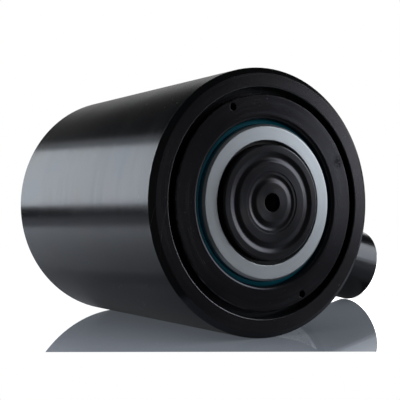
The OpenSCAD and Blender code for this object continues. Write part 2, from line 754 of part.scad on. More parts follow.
module poppet_spring() {
    steps = 20;
    sides = 8;
    rings = spring_turns * steps;
    wire_points = [
        for (i = [0 : rings])
            let (turn = 360 * i / steps, height = spring_low + coil_rise(i / steps))
            for (k = [0 : sides - 1])
                let (side = 360 * k / sides, reach = spring_d / 2 + spring_wire / 2 * cos(side))
                [reach * cos(turn), reach * sin(turn), height + spring_wire / 2 * sin(side)]
    ];
    wall_faces = [
        for (i = [0 : rings - 1], k = [0 : sides - 1], half = [0, 1])
            let (near = i * sides + k, next = i * sides + (k + 1) % sides)
            half == 0 ? [near, next, near + sides] : [next, next + sides, near + sides]
    ];
    end_faces = [
        [for (k = [sides - 1 : -1 : 0]) k],
        [for (k = [0 : sides - 1]) rings * sides + k]
    ];
    color([0.65, 0.66, 0.68]) along_port() polyhedron(wire_points, concat(wall_faces, end_faces));
}

module dust_cap() {
    color([0.06, 0.06, 0.065])
    along_port()
        turned(concat(
            [[0, cap_inner_end], [cap_bore_r, cap_inner_end], [cap_bore_r, cap_low + lead]],
            [[cap_bore_r + lead, cap_low]],
            arc([cap_r - cap_round, cap_low + cap_round], cap_round, -90, 0),
            arc([cap_r - cap_round, cap_high - cap_round], cap_round, 0, 90),
            [[0, cap_high]]
        ));
}

module cap_gasket() {
    color([0.03, 0.03, 0.03])
        along_port()
            translate([0, 0, barrel_high + rest_gap])
                cylinder(r = cap_bore_r - seat_gap, h = gasket_t);
}

cylinder_body();
gland_nut();
gland_wiper();
gland_guide_ring();
stage_one_sleeve();
stage_one_seal();
stage_one_backup_ring();
stage_one_guide_ring();
sleeve_retaining_ring();
lip_guide_ring();
lip_wiper();
stage_two_plunger();
stage_two_seal();
stage_two_backup_ring();
stage_two_guide_ring();
saddle();
saddle_retainer();
port_washer();
coupler_adapter();
coupler_barrel();
barrel_o_ring();
mouth_o_ring();
poppet_guide();
coupler_poppet();
poppet_spring();
dust_cap();
cap_gasket();
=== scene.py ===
from math import cos, pi, radians, sin

import bpy
from mathutils import Matrix, Vector


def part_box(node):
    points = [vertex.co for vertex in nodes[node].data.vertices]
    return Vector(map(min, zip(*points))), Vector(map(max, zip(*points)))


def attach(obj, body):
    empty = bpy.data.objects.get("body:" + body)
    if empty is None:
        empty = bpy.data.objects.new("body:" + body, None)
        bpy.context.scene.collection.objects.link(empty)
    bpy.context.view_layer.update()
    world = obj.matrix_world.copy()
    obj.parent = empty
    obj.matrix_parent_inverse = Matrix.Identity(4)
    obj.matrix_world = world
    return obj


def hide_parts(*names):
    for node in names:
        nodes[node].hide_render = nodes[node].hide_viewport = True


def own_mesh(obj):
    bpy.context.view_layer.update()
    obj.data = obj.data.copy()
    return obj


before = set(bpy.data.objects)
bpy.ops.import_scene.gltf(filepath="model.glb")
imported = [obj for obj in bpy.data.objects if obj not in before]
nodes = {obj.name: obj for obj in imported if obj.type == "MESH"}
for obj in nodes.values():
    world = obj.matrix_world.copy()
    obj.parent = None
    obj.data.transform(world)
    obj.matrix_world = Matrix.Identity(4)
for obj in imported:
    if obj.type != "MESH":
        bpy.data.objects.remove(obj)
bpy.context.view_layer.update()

# Cylinder body: a thick-walled steel pot, turned all over from bar and blackened in a hot bath.
# It keeps fine lathe marks, a mottled oxide skin and handling scratches.
# Its edges are worn a little bright, its mouth edge is painted pale all round as a painted highlight, its end
# face is painted darker as painted shade, and four threaded holes in its base take mounting screws.


class Value:
    """One output of a shader node. Arithmetic on it adds Math nodes to the same material."""

    def __init__(self, finish, socket):
        self.finish = finish
        self.socket = socket

    def math(self, operation, first, second=0.0):
        return self.finish.node("Math", {"operation": operation}, {0: first, 1: second})

    def __add__(self, other):
        return self.math("ADD", self, other)

    def __radd__(self, other):
        return self.math("ADD", other, self)

    def __sub__(self, other):
        return self.math("SUBTRACT", self, other)

    def __rsub__(self, other):
        return self.math("SUBTRACT", other, self)

    def __mul__(self, other):
        return self.math("MULTIPLY", self, other)

    def __rmul__(self, other):
        return self.math("MULTIPLY", other, self)

    def __truediv__(self, other):
        return self.math("DIVIDE", self, other)

    def __pow__(self, other):
        return self.math("POWER", self, other)

    def most(self, other):
        return self.math("MAXIMUM", self, other)

    def ramp(self, low, high):
        """0 up to low, 1 from high on, and a smooth rise between them."""
        settings = {"interpolation_type": "SMOOTHSTEP"}
        sockets = {"Value": self, "From Min": low, "From Max": high}
        return self.finish.node("MapRange", settings, sockets)


class Finish:
    """A material, or the light of the world, while its nodes are put together."""

    def __init__(self, holder):
        holder.use_nodes = True
        self.holder = holder
        self.tree = holder.node_tree
        self.tree.nodes.clear()

    def node(self, kind, settings=None, sockets=None, give=0):
        made = self.tree.nodes.new("ShaderNode" + kind)
        for name, value in (settings or {}).items():
            setattr(made, name, value)
        for name, value in (sockets or {}).items():
            if isinstance(value, Value):
                self.tree.links.new(value.socket, made.inputs[name])
            else:
                made.inputs[name].default_value = value
        return Value(self, made.outputs[give]) if made.outputs else None

    def split(self, vector):
        """The three numbers of a vector."""
        parts = self.node("SeparateXYZ", {}, {"Vector": vector}).socket.node
        return [Value(self, output) for output in parts.outputs]

    def join(self, x, y, z):
        return self.node("CombineXYZ", {}, {"X": x, "Y": y, "Z": z})

    def mix(self, share, first, second):
        """A colour between two others."""
        return self.node("Mix", {"data_type": "RGBA"}, {0: share, 6: first, 7: second}, give=2)

    def noise(self, spot, scale, detail=2.0):
        return self.node("TexNoise", {}, {"Vector": spot, "Scale": scale, "Detail": detail})

    def place(self):
        return self.node("TexCoord", give="Object")

    def relief(self, height, depth, edge=None):
        """The surface's direction where height raises it by depth. Its sharp edges are rounded by edge."""
        sockets = {"Height": height, "Distance": depth}
        if edge:
            sockets["Normal"] = self.node("Bevel", {"samples": 6}, {"Radius": edge})
        return self.node("Bump", {}, sockets)

    def surface(self, sockets):
        shader = self.node("BsdfPrincipled", {}, sockets)
        self.node("OutputMaterial", {}, {"Surface": shader})
        return self.holder


class Lathe:
    """Where a point of a turned piece lies: its radius, its height and its direction round the axis."""

    def __init__(self, finish, axis="Z", middle=0.0):
        x, y, z = finish.split(finish.place())
        first, second, self.height = (x, y, z) if axis == "Z" else (y, z - middle, x)
        self.finish = finish
        self.radius = (first * first + second * second) ** 0.5
        self.first = first / self.radius
        self.second = second / self.radius

    def marks(self, pitch, swing, detail=2.0):
        """Rings left by the tool, a pitch apart. Swing is how often one changes on its way round."""
        along = (self.radius * 1.37 + self.height) / pitch
        spot = self.finish.join(self.first * swing, self.second * swing, along)
        return self.finish.noise(spot, 1.0, detail)

    def near(self, circles, reach):
        """1 along circles, each a radius and a height, and 0 further off than reach."""
        found = 0.0
        for radius, height in circles:
            aside = self.radius - radius
            above = self.height - height
            away = (aside * aside + above * above) ** 0.5
            found = (1 - away.ramp(0.0, reach)).most(found)
        return found


def material(name):
    return Finish(bpy.data.materials.new(name))


def dress(name, finish):
    """Gives a CAD node its finish."""
    for slot in nodes[name].material_slots:
        slot.material = finish


def blackened(name, skin, stain, rough, grain, edges, highlight_edges=(), scuff=0.0, edge_round=0.0002,
              shade_above=1.0, smudge=None):
    """Turned steel with a black oxide skin of two tones, its roughness and the depth of its marks.

    Its edges show rub wear in places, and its highlight edges are painted pale all the way round, as a
    painted highlight. Above the given height it is painted a darker black, as painted shade on the end face.
    Scuff is the strength of the rub marks that tools leave, and smudge the middle of a dark spot of oil."""
    wear_and_highlight_steel = (0.3, 0.31, 0.33, 1)
    pale_mark = (0.1, 0.104, 0.112, 1)
    face_shade_black = (0.047, 0.045, 0.051, 1)
    scuff_grey = (0.16, 0.16, 0.17, 1)
    oil_black = (0.006, 0.006, 0.007, 1)
    warm_skin = (1.28 * skin[0], 1.1 * skin[1], 0.94 * skin[2], 1)
    dark_skin = (0.5 * skin[0], 0.5 * skin[1], 0.5 * skin[2], 1)
    fine_pitch = 0.00022
    broad_pitch = 0.0021
    ring_pitch = 0.0065
    warm_pitch = 0.017
    scratch_pitch = 0.0006
    slant_width = 0.0005
    slant_length = 0.016
    slant = 0.8
    finish = material(name)
    lathe = Lathe(finish)
    place = finish.place()
    fine = lathe.marks(fine_pitch, 3.0)
    broad = lathe.marks(broad_pitch, 1.6, 3.0)
    ring = lathe.marks(ring_pitch, 0.7, 3.0)
    warm = lathe.marks(warm_pitch, 0.9, 2.0).ramp(0.5, 0.72) * 0.5
    cloud = finish.noise(place, 34.0, 4.0)
    smear = finish.noise(place, 11.0, 3.0)
    pits = finish.noise(place, 1300.0, 0.0).ramp(0.8, 0.84)
    # Painted shade: the end face at the top of the part is painted a darker black.
    face_shade = lathe.height.ramp(shade_above - 0.0002, shade_above)

    round_marks = lathe.marks(scratch_pitch, 26.0, 1.0).ramp(0.735, 0.79)
    turn = lathe.first.math("ARCTAN2", lathe.second, lathe.first) * lathe.radius
    over = (turn * slant + lathe.height) / slant_width
    along = (turn - lathe.height * slant) / slant_length
    slanted_marks = finish.noise(finish.join(over, along, 0.0), 1.0, 1.0).ramp(0.69, 0.75)
    scratch = round_marks * finish.noise(place, 55.0).ramp(0.5, 0.62)
    scratch = scratch.most(slanted_marks * finish.noise(place, 24.0).ramp(0.52, 0.66))
    rub_and_highlight = lathe.near(edges, 0.00045) * lathe.marks(0.01, 14.0).ramp(0.3, 0.75) * 0.4
    # Painted highlight: the highlight edges are painted pale all the way round, on top of the real rub wear.
    rub_and_highlight = rub_and_highlight + lathe.near(highlight_edges, 0.0006) * 0.35

    tone = finish.mix(cloud.ramp(0.3, 0.7) * 0.7 + smear.ramp(0.4, 0.7) * 0.3, skin, stain)
    tone = finish.mix(warm, tone, warm_skin)
    tone = finish.mix(ring.ramp(0.42, 0.8) * 0.26 + smear.ramp(0.45, 0.75) * 0.3, tone, dark_skin)
    tone = finish.mix((broad - 0.5) * 0.55 + (fine - 0.5) * 0.5, tone, pale_mark)
    tone = finish.mix(pits * 0.8, tone, dark_skin)
    # The end face gets painted shade, and the highlight edges a painted highlight.
    tone = finish.mix(face_shade * 0.85, tone, face_shade_black)
    tone = finish.mix(scratch * 0.2 + rub_and_highlight, tone, wear_and_highlight_steel)
    gloss = rough + (cloud - 0.5) * 0.1 + (broad - 0.5) * 0.1 + (smear - 0.5) * 0.08
    gloss = gloss + scratch * 0.1 + face_shade * 0.05
    if scuff:
        patch = finish.noise(place, 95.0, 5.0).ramp(0.6, 0.72) * smear.ramp(0.5, 0.62)
        tone = finish.mix(patch * scuff, tone, scuff_grey)
        gloss = gloss + patch * scuff * 0.3
    if smudge:
        x, y, z = finish.split(place)
        aside = x - smudge[0]
        above = y - smudge[1]
        away = (aside * aside + above * above) ** 0.5
        oil = (1 - away.ramp(0.0008, 0.0034)) * finish.noise(place, 900.0, 3.0).ramp(0.36, 0.5)
        tone = finish.mix(oil * 0.75, tone, oil_black)
    height = fine * 0.35 + broad * 0.5 - scratch * 0.6
    edge_round = edge_round + lathe.near(highlight_edges, 0.001) * 0.0003
    return finish.surface({
        "Base Color": tone, "Metallic": 0.97, "Roughness": gloss, "Anisotropic": 0.45,
        "Anisotropic Rotation": 0.25, "Normal": finish.relief(height, grain, edge_round)
    })


_, body_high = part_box("cylinder_body")
body_r = body_high.x
body_h = body_high.z
rim_bevel_h = 0.0017
rim_mouth = (0.0428, body_h)
base_bevel_h = 0.0008
# The mouth edge gets a painted highlight all the way round, and the end face painted shade.
dress("cylinder_body", blackened(
    "blackened_body", skin=(0.047, 0.053, 0.063, 1), stain=(0.063, 0.063, 0.066, 1), rough=0.21,
    grain=1.2e-5, edges=[(body_r, body_h - rim_bevel_h), rim_mouth, (body_r, base_bevel_h)],
    highlight_edges=[rim_mouth], edge_round=0.00009, shade_above=body_h - 0.0001
))


def helix(name, section, pitch, turns, steps):
    """A section, as pairs of radius and height, carried up round Z by a Screw modifier."""
    bpy.ops.object.select_all(action="DESELECT")
    bpy.ops.mesh.primitive_circle_add(vertices=len(section), fill_type="NOTHING")
    coil = bpy.context.object
    coil.name = name
    for point, (radius, height) in zip(coil.data.vertices, section):
        point.co = (radius, 0, height)
    screw = coil.modifiers.new("turns", "SCREW")
    screw.screw_offset = pitch
    screw.iterations = turns
    screw.steps = screw.render_steps = steps
    bpy.ops.object.modifier_apply(modifier="turns")
    return coil


def close(coil, sides, place, sharpest):
    """Fills the ends of a helix, points its faces outwards and puts it in its place."""
    bpy.ops.object.mode_set(mode="EDIT")
    bpy.ops.mesh.select_all(action="SELECT")
    bpy.ops.mesh.fill_holes(sides=sides)
    bpy.ops.mesh.select_all(action="SELECT")
    bpy.ops.mesh.normals_make_consistent(inside=False)
    bpy.ops.object.mode_set(mode="OBJECT")
    coil.data.transform(place)
    bpy.ops.object.shade_smooth_by_angle(angle=sharpest)


def thread(name, root_r, crest_r, pitch, turns, place, finish, body):
    """The ridge of a screw thread from root to crest. It runs out over a third of a turn at each end."""
    root_half = 0.38 * pitch
    crest_half = 0.07 * pitch
    run_out_low = 0.05
    run_out_slope = 3
    steps = 36
    section = [(root_r, -root_half), (crest_r, -crest_half), (crest_r, crest_half), (root_r, root_half)]
    ridge = helix(name, section, pitch, turns, steps)
    for number, point in enumerate(ridge.data.vertices):
        turn = number // len(section) / steps
        share = min(1.0, run_out_low + run_out_slope * min(turn, turns - turn))
        radius = (point.co.x ** 2 + point.co.y ** 2) ** 0.5
        inwards = (root_r + (radius - root_r) * share) / radius
        point.co.x *= inwards
        point.co.y *= inwards
    close(ridge, len(section), place, radians(25))
    ridge.data.materials.append(finish)
    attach(ridge, body)


base_holes = 4
base_circle_r = 0.03
base_thread_low = 0.0012
screw_pitch = 0.00125
for number in range(base_holes):
    round_axis = Matrix.Rotation(radians(45 + 90 * number), 4, "Z")
    thread(
        f"base_hole_thread_{number + 1}", root_r=0.00342, crest_r=0.0031, pitch=screw_pitch, turns=7,
        place=round_axis @ Matrix.Translation((base_circle_r, 0, base_thread_low)),
        finish=nodes["cylinder_body"].material_slots[0].material, body="cylinder"
    )

# Gland nut: a blackened steel ring that screws into the mouth of the body and holds stage one in.
# Its face is turned dull, with two small holes for a pin spanner, and shows a few scuffs from it.
gland_edge = (0.0399, body_h - 0.0002)
oil_spot = (0.029, 0.0238)
dress("gland_nut", blackened(
    "blackened_gland", skin=(0.036, 0.036, 0.043, 1), stain=(0.043, 0.042, 0.048, 1), rough=0.26,
    grain=1.4e-5, edges=[gland_edge], scuff=0.5, smudge=oil_spot
))

# Wipers, seals and rings: moulded polyurethane and rubber, snapped into turned grooves.
# The gland's wiper is teal and the others black, with the dull bloom and fine dimples of a moulding.


def moulded(name, colour, bloom, rough, grain, depth, gleam=0.5, sheen=(1, 1, 1, 1)):
    """Moulded rubber or plastic with a pale bloom: grain is its dimples in a metre, depth their depth."""
    edge_round = 0.00015
    finish = material(name)
    place = finish.place()
    dimple = finish.noise(place, grain, 3.0)
    cloud = finish.noise(place, grain / 30, 3.0)
    tone = finish.mix(cloud.ramp(0.4, 0.75) * 0.6, colour, bloom)
    return finish.surface({
        "Base Color": tone, "Roughness": rough + (cloud - 0.5) * 0.2 + (dimple - 0.5) * 0.12,
        "Specular IOR Level": gleam, "Specular Tint": sheen,
        "Normal": finish.relief(dimple, depth, edge_round)
    })


dress("gland_wiper", moulded(
    "teal_polyurethane", colour=(0.0, 0.046, 0.067, 1), bloom=(0.001, 0.052, 0.076, 1), rough=0.4,
    grain=4200.0, depth=1.0e-5, gleam=0.08
))
rubber = moulded(
    "black_rubber", colour=(0.012, 0.012, 0.012, 1), bloom=(0.03, 0.03, 0.031, 1), rough=0.5,
    grain=5200.0, depth=1.5e-5
)
for ring in ("stage_one_seal", "stage_two_seal", "lip_wiper"):
    dress(ring, rubber)
for ring in ("saddle_retainer", "barrel_o_ring", "mouth_o_ring"):
    dress(ring, rubber)
natural = moulded(
    "natural_plastic", colour=(0.62, 0.6, 0.54, 1), bloom=(0.74, 0.72, 0.68, 1), rough=0.42,
    grain=3000.0, depth=1.2e-5
)
for ring in ("stage_one_backup_ring", "stage_two_backup_ring"):
    dress(ring, natural)

# Guide rings: strips of woven cloth set in brown resin and filled with bronze, bent into their grooves.
# They carry the sliding stages, so their outer face shows the weave and is polished by running.


def resin_cloth(name):
    """Woven cloth set in resin. The weave runs round the ring and along its axis."""
    thread_dark = (0.16, 0.075, 0.028, 1)
    thread_light = (0.27, 0.14, 0.055, 1)
    bronze = (0.33, 0.22, 0.1, 1)
    weave_pitch = 0.00075
    weave_depth = 2.0e-5
    edge_round = 0.0001
    finish = material(name)
    lathe = Lathe(finish)
    along = lathe.height * (2 * pi / weave_pitch)
    turn = lathe.first.math("ARCTAN2", lathe.second, lathe.first) * (lathe.radius * (2 * pi / weave_pitch))
    weave = turn.math("SINE", turn) * along.math("SINE", along) * 0.5 + 0.5
    cloud = finish.noise(finish.place(), 220.0, 4.0)
    tone = finish.mix(weave, thread_dark, thread_light)
    tone = finish.mix(cloud.ramp(0.5, 0.8) * 0.6, tone, bronze)
    return finish.surface({
        "Base Color": tone, "Roughness": 0.42 + weave * 0.14,
        "Normal": finish.relief(weave, weave_depth, edge_round)
    })


guide = resin_cloth("guide_strip")
for ring in ("gland_guide_ring", "stage_one_guide_ring", "lip_guide_ring", "stage_two_guide_ring"):
    dress(ring, guide)

# Stage one sleeve and stage two plunger: steel tube and bar, ground and plated with hard chrome.
# The sleeve's end face is faced satin on the lathe, and the rods carry faint rings from the wipers.


def plated(name, tint, dull, rough, grain, twist):
    """Hard plated steel, bright and dull in places. Grain is the depth of its marks, and twist how far
    they draw its gloss out."""
    fine_pitch = 0.00018
    broad_pitch = 0.0016
    edge_round = 0.00045
    finish = material(name)
    lathe = Lathe(finish)
    fine = lathe.marks(fine_pitch, 2.0)
    broad = lathe.marks(broad_pitch, 1.3, 3.0)
    cloud = finish.noise(finish.place(), 42.0, 4.0)
    tone = finish.mix((broad - 0.5) * 0.5 + (cloud - 0.5) * 0.4 + 0.2, tint, dull)
    gloss = rough + (fine - 0.5) * 0.08 + (cloud - 0.5) * 0.1
    return finish.surface({
        "Base Color": tone, "Metallic": 1.0, "Roughness": gloss, "Anisotropic": twist,
        "Anisotropic Rotation": 0.25, "Normal": finish.relief(fine * 0.5 + broad * 0.4, grain, edge_round)
    })


dress("stage_one_sleeve", plated(
    "satin_plate", tint=(0.57, 0.61, 0.65, 1), dull=(0.44, 0.475, 0.515, 1), rough=0.38,
    grain=4.0e-6, twist=0.2
))
dress("stage_two_plunger", plated(
    "ground_plate", tint=(0.6, 0.62, 0.64, 1), dull=(0.42, 0.45, 0.49, 1), rough=0.16,
    grain=2.0e-6, twist=0.5
))

# Saddle: a blackened steel disc that takes the load, with two round grooves for grip and a threaded hole.
# It was faced in one pass, so its rings are the coarsest on the part.
# A spigot and a rubber ring hold it in the plunger.
_, saddle_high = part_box("saddle")
saddle_thread_low = saddle_high.z - 0.0145
dress("saddle", blackened(
    "blackened_saddle", skin=(0.042, 0.042, 0.049, 1), stain=(0.052, 0.052, 0.057, 1), rough=0.32,
    grain=1.8e-5, edges=[]
))
thread(
    "saddle_hole_thread", root_r=0.00352, crest_r=0.0032, pitch=screw_pitch, turns=10,
    place=Matrix.Translation((0, 0, saddle_thread_low)),
    finish=nodes["saddle"].material_slots[0].material, body="stage_two"
)

# Side coupler: a hexagon adapter and a barrel, turned from steel and zinc plated, on a soft copper washer.
# Inside, a spoked guide and a spring carry the poppet that keeps the oil in while no hose is joined.
port_z = 0.0245


def zinc(name, tint, rough):
    """Turned metal with a thin bright skin, clouded where it has dulled."""
    dulled = (0.3, 0.31, 0.33, 1)
    mark_pitch = 0.0003
    mark_depth = 5.0e-6
    edge_round = 0.0002
    finish = material(name)
    lathe = Lathe(finish, "X", port_z)
    fine = lathe.marks(mark_pitch, 2.0)
    cloud = finish.noise(finish.place(), 130.0, 5.0)
    tone = finish.mix(cloud.ramp(0.35, 0.7) * 0.8, tint, dulled)
    gloss = rough + (cloud - 0.5) * 0.2 + (fine - 0.5) * 0.1
    return finish.surface({
        "Base Color": tone, "Metallic": 1.0, "Roughness": gloss,
        "Normal": finish.relief(fine, mark_depth, edge_round)
    })


coupler_zinc = zinc("zinc_plate", tint=(0.5, 0.51, 0.53, 1), rough=0.32)
for piece in ("coupler_adapter", "coupler_barrel"):
    dress(piece, coupler_zinc)
valve_steel = zinc("valve_steel", tint=(0.56, 0.56, 0.56, 1), rough=0.24)
for piece in ("poppet_guide", "coupler_poppet", "poppet_spring", "sleeve_retaining_ring"):
    dress(piece, valve_steel)
dress("port_washer", zinc("annealed_copper", tint=(0.62, 0.3, 0.18, 1), rough=0.34))

# Coupler barrel: turned with a knurled grip for the hand, a neck for the dust cap and a bore for the valve.
# The knurl is a grid of low pyramids, rolled into the grip between two plain collars.
barrel_low = 0.06429
barrel_high = 0.12579
collar_r = 0.017
collar_edge = 0.001
collar_high = 0.09529
knurl_low = 0.0677
knurl_high = 0.0919
knurl_r = 0.01645
knurl_end = 0.0005
knurl_rows = 12
knurl_columns = 52
knurl_peak = 0.00055
knurl_row = (knurl_high - knurl_low) / knurl_rows
neck_r = 0.015
neck_edge = 0.0006
mouth_r = 0.0095
mouth_edge = 0.001
groove_low = 0.12064
groove_high = 0.12254
groove_r = 0.0113
seat_low = 0.11479
seat_high = 0.11679
seat_r = 0.007
chamber_high = 0.11179
chamber_r = 0.01
socket_high = 0.07429
socket_r = 0.011
barrel_outline = [
    (barrel_low, socket_r), (barrel_low, collar_r - collar_edge), (barrel_low + collar_edge, collar_r),
    (knurl_low - knurl_end, collar_r)
]
barrel_outline += [(knurl_low + row * knurl_row, knurl_r) for row in range(knurl_rows + 1)]
barrel_outline += [
    (knurl_high + knurl_end, collar_r), (collar_high - collar_edge, collar_r),
    (collar_high, collar_r - collar_edge), (collar_high, neck_r), (barrel_high - neck_edge, neck_r),
    (barrel_high, neck_r - neck_edge), (barrel_high, mouth_r + mouth_edge),
    (barrel_high - mouth_edge, mouth_r),
    (groove_high, mouth_r), (groove_high, groove_r), (groove_low, groove_r), (groove_low, mouth_r),
    (seat_high, mouth_r), (seat_high, seat_r), (seat_low, seat_r), (chamber_high, chamber_r),
    (socket_high, chamber_r), (socket_high, socket_r)
]
bpy.ops.object.select_all(action="DESELECT")
bpy.ops.mesh.primitive_circle_add(vertices=len(barrel_outline), fill_type="NOTHING")
barrel = bpy.context.object
barrel.name = "coupler_barrel_knurled"
for point, (along, radius) in zip(barrel.data.vertices, barrel_outline):
    point.co = (along, 0, port_z + radius)
bpy.ops.object.mode_set(mode="EDIT")
bpy.ops.mesh.select_all(action="SELECT")
bpy.ops.mesh.spin(steps=knurl_columns, angle=2 * pi, center=(0, 0, port_z), axis=(1, 0, 0))
bpy.ops.mesh.select_all(action="SELECT")
bpy.ops.mesh.remove_doubles(threshold=1e-6)
bpy.ops.mesh.normals_make_consistent(inside=False)
bpy.ops.object.mode_set(mode="OBJECT")


def knurled(point):
    """Whether a corner of the barrel lies on its knurl."""
    radius = (point.y ** 2 + (point.z - port_z) ** 2) ** 0.5
    return abs(radius - knurl_r) < 5e-5 and knurl_low - 1e-6 < point.x < knurl_high + 1e-6


def select_knurl(kind, wanted):
    """Selects the knurl's faces or edges for which wanted is true, and opens the barrel for editing."""
    corners = barrel.data.vertices
    bpy.context.tool_settings.mesh_select_mode = (False, kind == "edges", kind == "polygons")
    for items in (corners, barrel.data.edges, barrel.data.polygons):
        for item in items:
            item.select = False
    for item in getattr(barrel.data, kind):
        points = [corners[corner].co for corner in item.vertices]
        item.select = all(knurled(point) for point in points) and wanted(points)
    bpy.ops.object.mode_set(mode="EDIT")


def on_row(point):
    """Whether a corner of the knurl lies on one of its first rows, not between two of them."""
    rows = (point.x - knurl_low) / knurl_row
    return abs(rows - round(rows)) < 0.1


def inside_row(points):
    """Whether an edge belongs to the first grid and isn't at one of the knurl's two ends."""
    at_end = all(point.x < knurl_low + 1e-5 or point.x > knurl_high - 1e-5 for point in points)
    return all(on_row(point) for point in points) and not at_end


select_knurl("polygons", lambda points: True)
bpy.ops.mesh.poke()
bpy.ops.object.mode_set(mode="OBJECT")
select_knurl("edges", inside_row)
bpy.ops.mesh.dissolve_edges(use_verts=False)
bpy.ops.object.mode_set(mode="OBJECT")
select_knurl("polygons", lambda points: len(points) == 4)
bpy.ops.mesh.poke(offset=knurl_peak)
bpy.ops.object.mode_set(mode="OBJECT")
bpy.ops.object.shade_smooth_by_angle(angle=radians(25))
barrel.data.materials.append(coupler_zinc)
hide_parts("coupler_barrel")
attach(barrel, "cylinder")

lying = Matrix.Rotation(radians(90), 4, "Y")
neck_thread_low = 0.0985
cap_pitch = 0.0025
thread(
    "coupler_barrel_thread", root_r=0.01497, crest_r=0.016, pitch=cap_pitch, turns=10,
    place=Matrix.Translation((neck_thread_low, 0, port_z)) @ lying, finish=coupler_zinc,
    body="cylinder"
)

# Poppet spring: hard-drawn steel wire, coiled with a closed turn at each end, where it sits square.
# It stands between the guide and the poppet. In the coupler it is pressed shorter as the poppet moves in;
# here it keeps one length.
spring_low = 0.08114
spring_high = 0.10574
spring_r = 0.007
spring_turns = 6
wire_r = 0.0008
wire_sides = 12
coil_steps = 40
corners = [2 * pi * corner / wire_sides for corner in range(wire_sides)]
wire = [(spring_r + wire_r * cos(corner), wire_r * sin(corner)) for corner in corners]
spring = helix("poppet_coil", wire, 0.0, spring_turns, coil_steps)
coil_gap = 0.00005
closed_turn = 2 * wire_r + coil_gap
open_turn = (spring_high - spring_low - 2 * closed_turn) / (spring_turns - 2)
for number, point in enumerate(spring.data.vertices):
    turn = number // wire_sides / coil_steps
    last = max(0.0, turn - spring_turns + 1)
    middle = min(max(0.0, turn - 1), spring_turns - 2)
    point.co.z += min(turn, 1.0) * closed_turn + middle * open_turn + last * closed_turn
close(spring, wire_sides, Matrix.Translation((spring_low, 0, port_z)) @ lying, radians(50))
spring.data.materials.append(valve_steel)
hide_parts("poppet_spring")
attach(spring, "cylinder")
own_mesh(spring)

# Dust cap: a thick moulded cap screwed over the end of the coupler, with a rubber gasket disc inside.
# It is black satin plastic, smooth outside, with a faint moulding grain and rub marks.
dress("dust_cap", moulded(
    "cap_plastic", colour=(0.003, 0.003, 0.0034, 1), bloom=(0.006, 0.006, 0.0065, 1), rough=0.19,
    grain=2600.0, depth=6.0e-6, gleam=0.52, sheen=(0.86, 0.91, 1, 1)
))
dress("cap_gasket", rubber)
cap_thread_low = 0.09975
thread(
    "dust_cap_thread", root_r=0.01634, crest_r=0.01535, pitch=cap_pitch, turns=10,
    place=Matrix.Translation((cap_thread_low, 0, port_z)) @ lying,
    finish=nodes["dust_cap"].material_slots[0].material, body="cap"
)

# Camera: the part lies on its side and is rolled a little, so the picture's level runs across its axes.
# The part keeps its own frame, and the camera, floor and lamps are turned to the picture's directions.
lie = radians(13.86)
level = Vector((Matrix.Rotation(lie, 3, "Z") @ Vector((1, 0, 0))))
lift = Vector((Matrix.Rotation(lie, 3, "Z") @ Vector((0, 1, 0))))
out = Vector((0, 0, 1))


def spot(across, up, along):
    """A point in the picture's own directions: level to the right, up, and along the cylinder's axis."""
    return level * across + lift * up + out * along


eye = spot(-0.19416, -0.00376, 0.3753)
ahead = spot(0.5407, 0.0149, -0.8411).normalized()
top = spot(-0.0070, 0.9999, 0.0133)
right = ahead.cross(top).normalized()
top = right.cross(ahead)
camera = bpy.data.objects.new("camera", bpy.data.cameras.new("camera"))
camera.data.sensor_width = 36.0
camera.data.lens = 78.05
camera.matrix_world = Matrix((
    (right.x, top.x, -ahead.x, eye.x), (right.y, top.y, -ahead.y, eye.y),
    (right.z, top.z, -ahead.z, eye.z), (0, 0, 0, 1)
))
bpy.context.scene.collection.objects.link(camera)
bpy.context.scene.camera = camera

# Floor: a sheet of white acrylic that mirrors the part under a pale veil, painted as a glow that is darker
# near the part as painted shadow, and ends just in front of it.
# It is clear for shadows, for looks from above or below, and along the way of the pulled dust cap.
floor_near = 0.2893
floor_far = 0.95
floor_half = 0.5
floor_ahead = (ahead - lift * ahead.dot(lift)).normalized()
floor_side = floor_ahead.cross(lift)
floor_foot = eye - lift * (lift.dot(eye) + body_r)
bpy.ops.object.select_all(action="DESELECT")
bpy.ops.mesh.primitive_plane_add(size=1)
floor = bpy.context.object
floor.name = "acrylic_floor"
floor.data.transform(Matrix.Diagonal((2 * floor_half, floor_far - floor_near, 1, 1)))
floor_middle = floor_foot + floor_ahead * (floor_far + floor_near) / 2
floor.data.transform(Matrix((
    (floor_side.x, floor_ahead.x, lift.x, floor_middle.x),
    (floor_side.y, floor_ahead.y, lift.y, floor_middle.y),
    (floor_side.z, floor_ahead.z, lift.z, floor_middle.z),
    (0, 0, 0, 1)
)))

acrylic = material("white_acrylic")


def ray(kind):
    """1 for the rays of one kind that reach the floor."""
    return acrylic.node("LightPath", give=kind)


def floor_along(direction):
    """How far a point of the floor lies along a direction."""
    sockets = {0: acrylic.place(), 1: direction}
    return acrylic.node("VectorMath", {"operation": "DOT_PRODUCT"}, sockets, give="Value")


depth = floor_along(out)
across = floor_along(level)
facing = acrylic.node("LayerWeight", {}, {"Blend": 0.5}, give="Facing")
low_look = facing.ramp(0.76, 0.81)
cap_way = across.ramp(0.1255, 0.129) * depth.ramp(-0.002, 0.006) * (1 - depth.ramp(0.043, 0.051))
unseen = acrylic.node("NewGeometry", give="Backfacing").most(ray("Is Shadow Ray")).most(ray("Is Diffuse Ray"))
unseen = unseen.most(ray("Is Camera Ray") * (1 - low_look)).most(cap_way)

shade_reach = 0.11
nearby = acrylic.node("AmbientOcclusion", {"samples": 8}, {"Distance": shade_reach}, give="AO")
